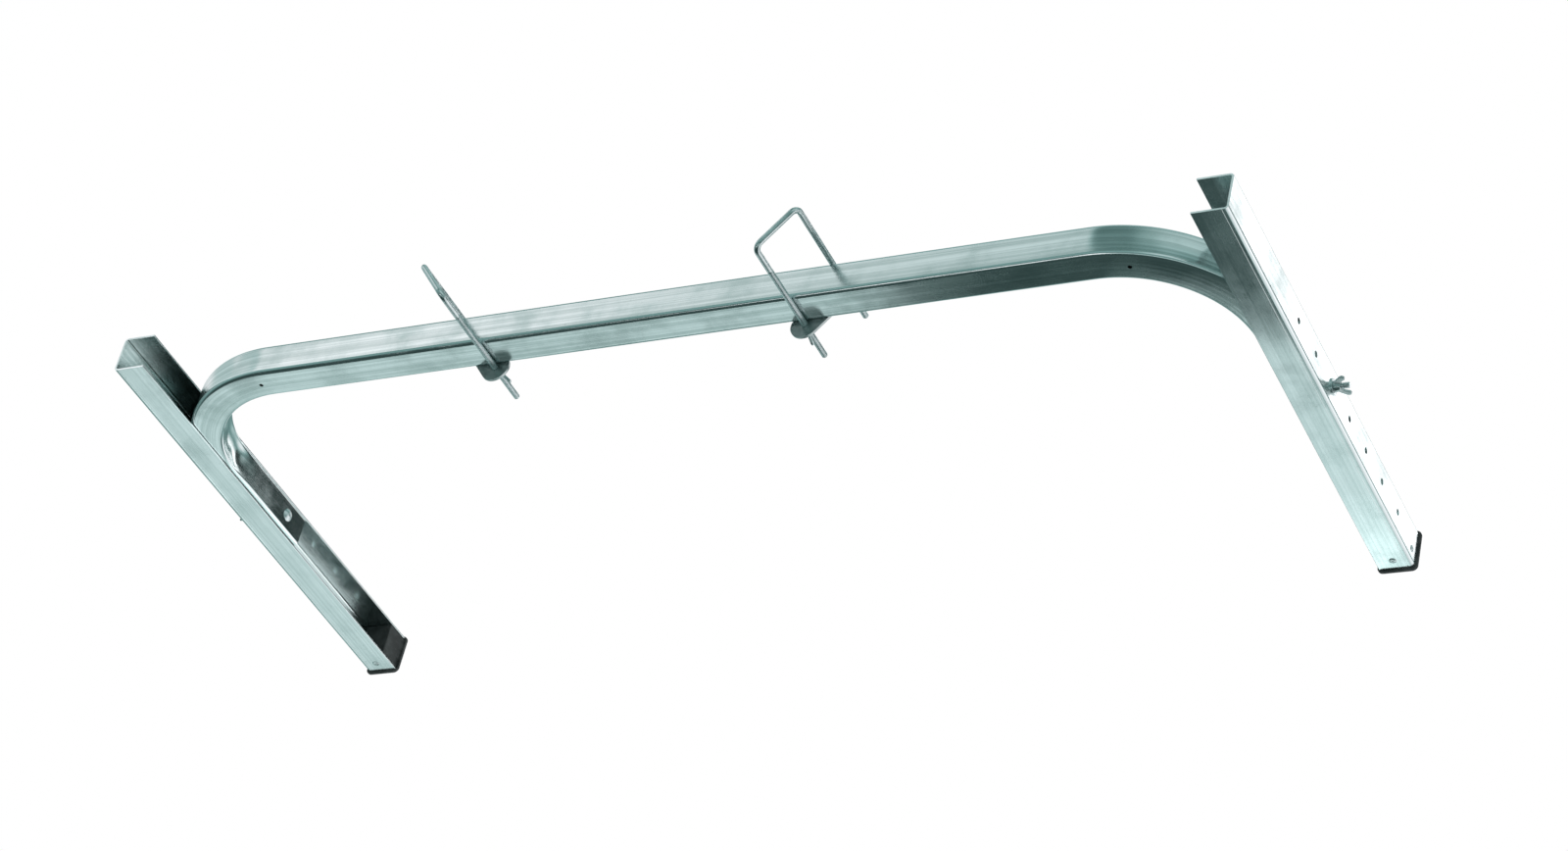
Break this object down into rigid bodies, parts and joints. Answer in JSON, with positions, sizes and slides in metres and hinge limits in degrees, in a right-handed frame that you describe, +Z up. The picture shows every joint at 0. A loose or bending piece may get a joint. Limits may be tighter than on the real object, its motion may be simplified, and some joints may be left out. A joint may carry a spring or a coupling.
{
  "type": "ladder stabilizer",
  "caption": "Bent square tube crossbar with sliding channel arms and rubber wall pads, clamped behind ladder rails by slanted U-bolts with wing nuts.",
  "frame": {"origin": "middle of the crossbar's flat front face, where the two ladder rails rest", "axes": "+X along the crossbar to the climber's right, +Y from the ladder to the wall, +Z up the ladder"},
  "size_m": [1.3052, 0.6081, 0.0776],
  "materials": {
    "tube_aluminium": "mill finish, lightly brushed along the tube",
    "channel_aluminium": "mill finish, lightly brushed along the channel",
    "pad_rubber": "matte moulded rubber",
    "rivet_aluminium": "satin",
    "bolt_zinc": "bright zinc plate",
    "nut_zinc": "zinc plated casting",
    "plate_zinc": "dull dark zinc plate"
  },
  "bodies": {
    "crossbar": {"crossbar_tube": "tube_aluminium", "left_lock_bolt": "bolt_zinc", "right_lock_bolt": "bolt_zinc"},
    "left_arm": {"left_arm_channel": "channel_aluminium", "left_end_pad": "pad_rubber", "left_pad_rivets": "rivet_aluminium"},
    "left_lock_washer": {"left_lock_washer": "bolt_zinc"},
    "left_lock_nut": {"left_lock_wing_nut": "nut_zinc"},
    "left_clamp_bow": {"left_u_bolt": "bolt_zinc"},
    "left_clamp_plate": {"left_clamp_plate": "plate_zinc", "left_upper_washer": "bolt_zinc", "left_lower_washer": "bolt_zinc"},
    "left_upper_nut": {"left_upper_wing_nut": "nut_zinc"},
    "left_lower_nut": {"left_lower_wing_nut": "nut_zinc"},
    "right_arm": {"right_arm_channel": "channel_aluminium", "right_end_pad": "pad_rubber", "right_pad_rivets": "rivet_aluminium"},
    "right_lock_washer": {"right_lock_washer": "bolt_zinc"},
    "right_lock_nut": {"right_lock_wing_nut": "nut_zinc"},
    "right_clamp_bow": {"right_u_bolt": "bolt_zinc"},
    "right_clamp_plate": {"right_clamp_plate": "plate_zinc", "right_upper_washer": "bolt_zinc", "right_lower_washer": "bolt_zinc"},
    "right_upper_nut": {"right_upper_wing_nut": "nut_zinc"},
    "right_lower_nut": {"right_lower_wing_nut": "nut_zinc"}
  },
  "joints": [
    {"name": "left_arm_slide", "type": "slide", "parent": "crossbar", "child": "left_arm", "axis": [0, 1, 0], "range_m": [-0.2032, 0.1016]},
    {"name": "left_lock_washer_slide", "type": "slide", "parent": "crossbar", "child": "left_lock_washer", "axis": [-1, 0, 0], "range_m": [0, 0.00635]},
    {"name": "left_lock_nut_turn", "type": "hinge", "parent": "left_lock_washer", "child": "left_lock_nut", "pos_m": [-0.6366, 0.254, 0], "axis": [-1, 0, 0], "range_deg": [0, 1800]},
    {"name": "left_clamp_slide", "type": "slide", "parent": "crossbar", "child": "left_clamp_bow", "axis": [-1, 0, 0], "range_m": [-0.1, 0.15]},
    {"name": "left_clamp_plate_slide", "type": "slide", "parent": "left_clamp_bow", "child": "left_clamp_plate", "axis": [0, 1, 0], "range_m": [0, 0.0254]},
    {"name": "left_upper_nut_turn", "type": "hinge", "parent": "left_clamp_plate", "child": "left_upper_nut", "pos_m": [-0.235, 0.0429, 0.0228], "axis": [0, 1, 0], "range_deg": [0, 7200]},
    {"name": "left_lower_nut_turn", "type": "hinge", "parent": "left_clamp_plate", "child": "left_lower_nut", "pos_m": [-0.199, 0.0429, -0.0228], "axis": [0, 1, 0], "range_deg": [0, 7200]},
    {"name": "right_arm_slide", "type": "slide", "parent": "crossbar", "child": "right_arm", "axis": [0, 1, 0], "range_m": [-0.2032, 0.1016]},
    {"name": "right_lock_washer_slide", "type": "slide", "parent": "crossbar", "child": "right_lock_washer", "axis": [1, 0, 0], "range_m": [0, 0.00635]},
    {"name": "right_lock_nut_turn", "type": "hinge", "parent": "right_lock_washer", "child": "right_lock_nut", "pos_m": [0.6366, 0.254, 0], "axis": [1, 0, 0], "range_deg": [0, 1800]},
    {"name": "right_clamp_slide", "type": "slide", "parent": "crossbar", "child": "right_clamp_bow", "axis": [1, 0, 0], "range_m": [-0.1, 0.15]},
    {"name": "right_clamp_plate_slide", "type": "slide", "parent": "right_clamp_bow", "child": "right_clamp_plate", "axis": [0, 1, 0], "range_m": [0, 0.0254]},
    {"name": "right_upper_nut_turn", "type": "hinge", "parent": "right_clamp_plate", "child": "right_upper_nut", "pos_m": [0.196, 0.0429, 0.0228], "axis": [0, 1, 0], "range_deg": [0, 7200]},
    {"name": "right_lower_nut_turn", "type": "hinge", "parent": "right_clamp_plate", "child": "right_lower_nut", "pos_m": [0.16, 0.0429, -0.0228], "axis": [0, 1, 0], "range_deg": [0, 7200]}
  ],
  "couplings": [
    {"joint": "left_lock_nut_turn", "follows": "left_lock_washer_slide", "rad_per_m": 4947.4},
    {"joint": "left_upper_nut_turn", "follows": "left_clamp_plate_slide", "rad_per_m": 4947.4},
    {"joint": "left_lower_nut_turn", "follows": "left_clamp_plate_slide", "rad_per_m": 4947.4},
    {"joint": "right_lock_nut_turn", "follows": "right_lock_washer_slide", "rad_per_m": 4947.4},
    {"joint": "right_upper_nut_turn", "follows": "right_clamp_plate_slide", "rad_per_m": 4947.4},
    {"joint": "right_lower_nut_turn", "follows": "right_clamp_plate_slide", "rad_per_m": 4947.4}
  ]
}
